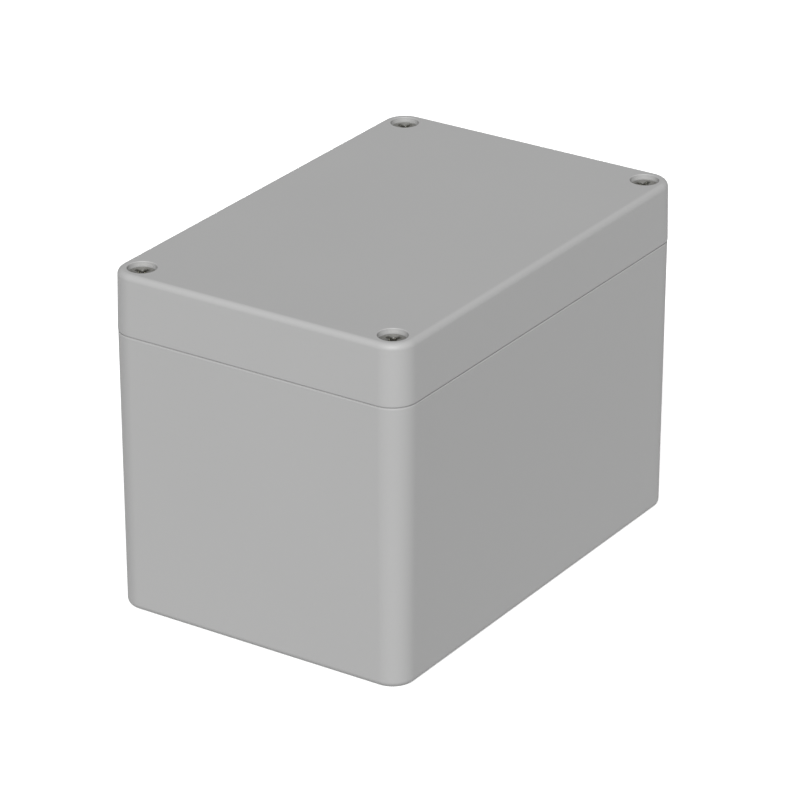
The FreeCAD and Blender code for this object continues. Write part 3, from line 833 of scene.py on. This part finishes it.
class BOX_OT_seal(BoxOperator):
    """The soft seal in the lid's groove"""
    bl_idname = "box.seal"
    bl_label = "Seal"

    def execute(self, context):
        seal = context.scene.box_settings.seal
        inner = seal.tongue_inset - seal.tongue_play + seal.seal_play
        outer = seal.tongue_inset + seal.tongue_width + seal.tongue_play - seal.seal_play
        cord = ring_plate(inner, outer, SEAL_LOW.z)
        raise_straight(SEAL_HIGH.z - SEAL_LOW.z)
        round_off(at_height(SEAL_LOW.z), seal.seal_round, steps=4)
        round_off(at_height(SEAL_HIGH.z), seal.seal_round, steps=4)
        smooth(cord, sharpest=50)
        hand_over(cord, "seal_cord", "gasket", "lid", rubber_material())
        return {"FINISHED"}


def helix(root, crest, low, high, pitch, steps=36):
    """A closed spiral ridge about the Z axis, as deep as a thread."""
    deselect()
    bpy.ops.mesh.primitive_plane_add(size=1, enter_editmode=True)
    bpy.ops.mesh.select_mode(type="VERT")
    places = {(-1, -1): (root, ROOT_LOW), (1, -1): (crest, CREST_LOW),
              (1, 1): (crest, CREST_HIGH), (-1, 1): (root, ROOT_HIGH)}
    bpy.ops.mesh.select_all(action="SELECT")
    for (side_x, side_y), (radius, turn) in places.items():
        pick("VERT", lambda vert: (vert.co.z == 0 and vert.co.x * side_x > 0
                                   and vert.co.y * side_y > 0))
        corner = Vector((side_x / 2, side_y / 2, 0))
        bpy.ops.transform.translate(value=Vector((radius, 0, low + turn * pitch)) - corner)
    pick("FACE", lambda face: True)
    bpy.ops.mesh.delete(type="ONLY_FACE")
    ridge = bpy.context.object
    turns = int((high - low) / pitch) - 1
    add_modifier(ridge, "SCREW", angle=2 * pi, screw_offset=pitch, iterations=turns, steps=steps,
                 render_steps=steps, use_merge_vertices=True, merge_threshold=NEAR / 2,
                 use_smooth_shade=False)
    bpy.ops.object.mode_set(mode="EDIT")
    bpy.ops.mesh.select_all(action="SELECT")
    bpy.ops.mesh.fill_holes(sides=0)
    face_outward()
    return ridge


def keep_own_place(piece):
    """Store each vertex's place about the piece's own axis, before it moves to its corner."""
    deselect()
    own = piece.data.attributes.new("own_place", "FLOAT_VECTOR", "POINT")
    own.data.foreach_set("vector", [part for vert in piece.data.vertices for part in vert.co])


def hand_over_at_corners(piece, name, node, body, material, turns=()):
    """Copy a finished piece to the four corners and hand each copy over."""
    copies = at_corners(piece, SCREW_PLACE.x, SCREW_PLACE.y, turns)
    for corner, copy in zip(CORNERS, copies, strict=True):
        hand_over(copy, f"{name}_{corner}", f"{node}_{corner}", body.format(corner), material)


class BOX_OT_screws(BoxOperator):
    """The four captive lid screws, each with a cross recess, a thin shank and a thread"""
    bl_idname = "box.screws"
    bl_label = "Lid screws"

    def execute(self, context):
        screws = context.scene.box_settings.screws
        top, tip = SCREW_HIGH.z, SCREW_LOW.z
        seat = top - screws.head_height
        thread_top = tip + screws.thread_length
        head = (SCREW_HIGH.x - SCREW_LOW.x) / 2
        crest = screws.thread_radius
        root = crest - screws.thread_depth
        screw = turned([(0, tip), (crest - screws.thread_tip, tip),
                        (root, tip + screws.thread_tip - screws.thread_depth),
                        (root, thread_top - screws.thread_end),
                        (screws.shank_radius, thread_top),
                        (screws.shank_radius, seat), (head, seat), (head, top), (0, top)])
        round_off(on_circle(top, head), screws.head_round)
        round_off(on_circle(seat, head), screws.seat_round, steps=3)
        ridge = helix(root - RIDGE_SUNK, crest, tip + RIDGE_START, thread_top, screws.pitch)
        combine(screw, "UNION", ridge)

        start = top + screws.cross_edge
        grow = screws.cross_edge * 2
        recess = cross_plate(screws.cross_half + grow, screws.cross_half + grow,
                             screws.cross_wing + grow, screws.cross_wing + grow,
                             start + SLIGHT, 0, SLIGHT)
        raise_leaning(start + SLIGHT, start - grow, pi / 4, SLIGHT)
        wall = screws.cross_depth - screws.cross_edge
        bpy.ops.mesh.inset(thickness=wall * tan(screws.cross_draft), depth=wall,
                           use_even_offset=True)
        point = (0, 0, -screws.cross_point)
        bpy.ops.mesh.extrude_region_move(TRANSFORM_OT_translate={"value": point})
        bpy.ops.transform.resize(value=(screws.cross_left, screws.cross_left, 1),
                                 center_override=(0, 0, 0))
        combine(screw, "DIFFERENCE", recess)

        smooth(screw, sharpest=32)
        keep_own_place(screw)
        hand_over_at_corners(screw, "captive_screw", "lid_screw", "screw_{}",
                             steel_material(), SCREW_TURNS)
        return {"FINISHED"}


class BOX_OT_inserts(BoxOperator):
    """The four knurled brass inserts that the lid screws turn into"""
    bl_idname = "box.inserts"
    bl_label = "Thread inserts"

    def execute(self, context):
        screws = context.scene.box_settings.screws
        low, high = INSERT_LOW.z, INSERT_HIGH.z
        outside = (INSERT_HIGH.x - INSERT_LOW.x) / 2
        waist = outside - screws.waist
        centre = (low + high) / 2
        bore = screws.thread_radius + screws.thread_play
        groove = bore + screws.insert_thread
        insert = turned([(bore - SKIN, low), (outside - screws.lead_in, low),
                         (outside, low + screws.lead_in), (outside, centre - screws.waist_half),
                         (waist, centre - screws.waist_half), (waist, centre + screws.waist_half),
                         (outside, centre + screws.waist_half), (outside, high - screws.insert_edge),
                         (outside - screws.insert_edge, high), (bore + screws.insert_mouth, high),
                         (bore - SKIN, high - screws.insert_mouth - SKIN)], closed=True)
        pick("VERT", lambda vert: vert.co.xy.length > outside - NEAR
             and low + screws.lead_in < vert.co.z + NEAR
             and round(vert.co.xy.angle_signed(Vector((1, 0))) * TURN_STEPS / (2 * pi)) % 2)
        bpy.ops.transform.resize(value=(1 - screws.knurl, 1 - screws.knurl, 1),
                                 center_override=(0, 0, 0))
        drill = turned([(0, low - PAST), (bore, low - PAST), (bore, high + PAST), (0, high + PAST)])
        ridge = helix(bore - RIDGE_SUNK, groove, low - THREAD_BELOW, high + THREAD_ABOVE,
                      screws.pitch)
        combine(drill, "UNION", ridge)
        combine(insert, "DIFFERENCE", drill)
        smooth(insert, sharpest=28)
        hand_over_at_corners(insert, "knurled_insert", "thread_insert", "base",
                             brass_material())
        return {"FINISHED"}


class BOX_OT_washers(BoxOperator):
    """The four nylon washers that keep the undone screws in the lid"""
    bl_idname = "box.washers"
    bl_label = "Washers"

    def execute(self, context):
        screws = context.scene.box_settings.screws
        low, high = WASHER_LOW.z, WASHER_HIGH.z
        outside = (WASHER_HIGH.x - WASHER_LOW.x) / 2
        bore = screws.shank_radius + screws.washer_play
        washer = turned([(bore, low), (outside, low), (outside, high), (bore, high)], closed=True)
        for height in (low, high):
            round_off(on_circle(height, outside), screws.washer_round, steps=4)
            round_off(on_circle(height, bore), screws.washer_round / 2, steps=2)
        smooth(washer, sharpest=50)
        hand_over_at_corners(washer, "nylon_washer", "retaining_washer", "washer_{}",
                             nylon_material())
        return {"FINISHED"}


class BOX_OT_stage(BoxOperator):
    """A plain pale floor, soft light and the camera"""
    bl_idname = "box.stage"
    bl_label = "Stage"

    def execute(self, context):
        stage = context.scene.box_settings.stage
        context.scene.view_settings.view_transform = "Standard"

        deselect()
        bpy.ops.mesh.primitive_plane_add(size=stage.floor_size)
        floor = context.object
        floor.name = "floor"
        paper = Material("white_floor")
        floor.data.materials.append(paper.surface(
            Base_Color=tint(stage.floor_colour, 1), Roughness=1.0, Specular_IOR_Level=0.0,
            Emission_Color=(1, 1, 1, 1), Emission_Strength=stage.floor_glow))
        # The floor is clear to the fill light below it, and throws no light up at the box
        floor.visible_diffuse = False
        floor.visible_shadow = False

        sky = bpy.data.worlds.new("soft_studio")
        sky.use_nodes = True
        background = sky.node_tree.nodes["Background"]
        background.inputs["Color"].default_value = (1, 1, 1, 1)
        background.inputs["Strength"].default_value = stage.sky
        context.scene.world = sky

        for name, turn, height, power, spread in (
                ("key", stage.azimuth - stage.key_aside, stage.key_height, stage.key,
                 stage.key_spread),
                ("fill", stage.azimuth + pi, -stage.fill_depth, stage.fill, stage.fill_spread)):
            bpy.ops.object.light_add(type="SUN", rotation=(pi / 2 - height, 0, turn))
            light = context.object
            light.name = f"{name}_light"
            light.data.energy = power
            light.data.angle = spread

        back = Vector((cos(stage.elevation) * sin(stage.azimuth),
                       -cos(stage.elevation) * cos(stage.azimuth), sin(stage.elevation)))
        right = Vector((cos(stage.azimuth), sin(stage.azimuth), 0))
        place = (back * stage.distance + right * stage.shift_right
                 + back.cross(right) * stage.shift_up + Vector((0, 0, (BASE_LOW.z + ROOF) / 2)))
        bpy.ops.object.camera_add(location=place,
                                  rotation=(pi / 2 - stage.elevation, 0, stage.azimuth))
        camera = context.object
        camera.data.lens = stage.lens
        camera.data.sensor_width = 36
        camera.data.clip_end = 100
        context.scene.camera = camera
        return {"FINISHED"}


class BOX_PT_pieces(bpy.types.Panel):
    """Lists the pieces and their sizes in the sidebar"""
    bl_label = "Sealed plastic box"
    bl_space_type = "VIEW_3D"
    bl_region_type = "UI"
    bl_category = "Box"

    def draw(self, context):
        layout = self.layout
        for operator in OPERATORS:
            layout.operator(operator.bl_idname)
        settings = context.scene.box_settings
        for group in (settings.housing, settings.holes, settings.seal, settings.screws,
                      settings.finishes, settings.stage):
            box = layout.box()
            box.label(text=group.bl_rna.description)
            for name in group.__annotations__:
                box.prop(group, name)


GROUPS = (HousingSizes, HoleSizes, SealSizes, ScrewSizes, Finishes, StageSettings, BoxSettings)
OPERATORS = (BOX_OT_base_shell, BOX_OT_lid_shell, BOX_OT_seal, BOX_OT_screws, BOX_OT_inserts,
             BOX_OT_washers, BOX_OT_stage)


def register():
    """Make the groups, the operators and the panel known to Blender."""
    for item in GROUPS + OPERATORS + (BOX_PT_pieces,):
        bpy.utils.register_class(item)
    bpy.types.Scene.box_settings = PointerProperty(type=BoxSettings)


def unregister():
    """Take them away again."""
    del bpy.types.Scene.box_settings
    for item in reversed(GROUPS + OPERATORS + (BOX_PT_pieces,)):
        bpy.utils.unregister_class(item)


def main():
    """Make every piece and the stage."""
    register()
    bpy.ops.box.base_shell()
    bpy.ops.box.lid_shell()
    bpy.ops.box.seal()
    bpy.ops.box.screws()
    bpy.ops.box.inserts()
    bpy.ops.box.washers()
    bpy.ops.box.stage()
    deselect()


if __name__ == "__main__":
    main()
